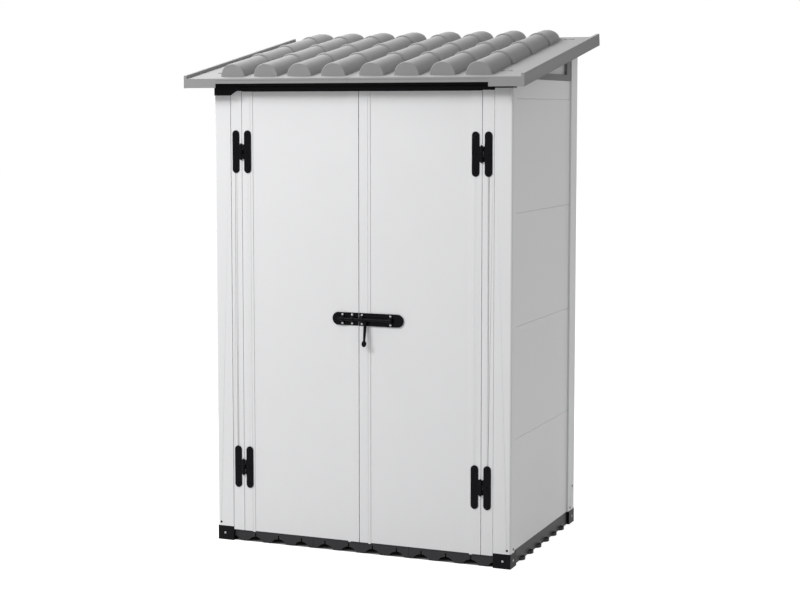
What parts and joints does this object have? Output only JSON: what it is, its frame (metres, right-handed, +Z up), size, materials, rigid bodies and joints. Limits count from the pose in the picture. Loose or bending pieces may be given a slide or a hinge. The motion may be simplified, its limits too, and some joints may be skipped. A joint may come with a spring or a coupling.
{
  "type": "garden shed",
  "caption": "Small lean-to garden shed with two hinged doors and a sliding bolt, slotted wall boards, an interlocking tile floor and a roof moulded as barrel tiles.",
  "frame": {"origin": "on the ground under the middle of the overall outline", "axes": "+X to the right along the front, +Y to the rear, +Z up; the doors face -Y"},
  "size_m": [1.373, 0.971, 2.0167],
  "materials": {
    "white_plastic": "satin",
    "black_plastic": "satin",
    "floor_plastic": "matt",
    "roof_plastic": "satin",
    "gable_plastic": "satin",
    "infill_plastic": "satin",
    "black_metal": "satin black",
    "screw_steel": "zinc plated"
  },
  "bodies": {
    "shed": {"floor_tile_1": "floor_plastic", "floor_tile_2": "floor_plastic", "floor_tile_3": "floor_plastic", "floor_tile_4": "floor_plastic", "floor_tile_5": "floor_plastic", "floor_tile_6": "floor_plastic", "base_corner_front_left": "black_plastic", "base_corner_front_right": "black_plastic", "base_corner_rear_left": "black_plastic", "base_corner_rear_right": "black_plastic", "front_post_left": "white_plastic", "front_post_right": "white_plastic", "rear_post_left": "white_plastic", "rear_post_right": "white_plastic", "side_board_left_1": "white_plastic", "side_board_left_2": "white_plastic", "side_board_left_3": "white_plastic", "side_board_left_4": "white_plastic", "side_board_left_5": "white_plastic", "side_board_right_1": "white_plastic", "side_board_right_2": "white_plastic", "side_board_right_3": "white_plastic", "side_board_right_4": "white_plastic", "side_board_right_5": "white_plastic", "rear_board_1": "white_plastic", "rear_board_2": "white_plastic", "rear_board_3": "white_plastic", "rear_board_4": "white_plastic", "rear_board_5": "white_plastic", "gable_frame_left": "gable_plastic", "gable_frame_right": "gable_plastic", "gable_infill_left": "infill_plastic", "gable_infill_right": "infill_plastic", "lintel": "black_plastic", "top_corner_left": "black_plastic", "top_corner_right": "black_plastic", "door_jamb_left": "white_plastic", "door_jamb_right": "white_plastic", "roof_left": "roof_plastic", "roof_right": "roof_plastic", "hinge_frame_leaves": "black_metal", "hinge_pins": "black_metal", "frame_screws": "black_metal", "base_screws": "screw_steel"},
    "left_door": {"door_panel_left": "white_plastic", "hinge_stile_left": "white_plastic", "meeting_stile_left": "white_plastic", "hinge_leaves_left": "black_metal", "keeper_plate": "black_metal", "keeper_straps": "black_metal", "left_door_screws": "screw_steel"},
    "right_door": {"door_panel_right": "white_plastic", "hinge_stile_right": "white_plastic", "meeting_stile_right": "white_plastic", "hinge_leaves_right": "black_metal", "bolt_plate": "black_metal", "bolt_straps": "black_metal", "right_door_screws": "screw_steel"},
    "rod": {"bolt_rod": "black_metal"},
    "lever": {"bolt_lever": "black_metal"}
  },
  "joints": [
    {"name": "left_door_hinge", "type": "hinge", "parent": "shed", "child": "left_door", "pos_m": [-0.4925, -0.3879, 0.91], "axis": [0, 0, -1], "range_deg": [0, 170]},
    {"name": "right_door_hinge", "type": "hinge", "parent": "shed", "child": "right_door", "pos_m": [0.4925, -0.3879, 0.91], "axis": [0, 0, 1], "range_deg": [0, 170]},
    {"name": "rod_slide", "type": "slide", "parent": "right_door", "child": "rod", "axis": [1, 0, 0], "range_m": [0, 0.086]},
    {"name": "lever_turn", "type": "hinge", "parent": "rod", "child": "lever", "pos_m": [0.031, -0.3913, 0.905], "axis": [-1, 0, 0], "range_deg": [0, 165]}
  ]
}
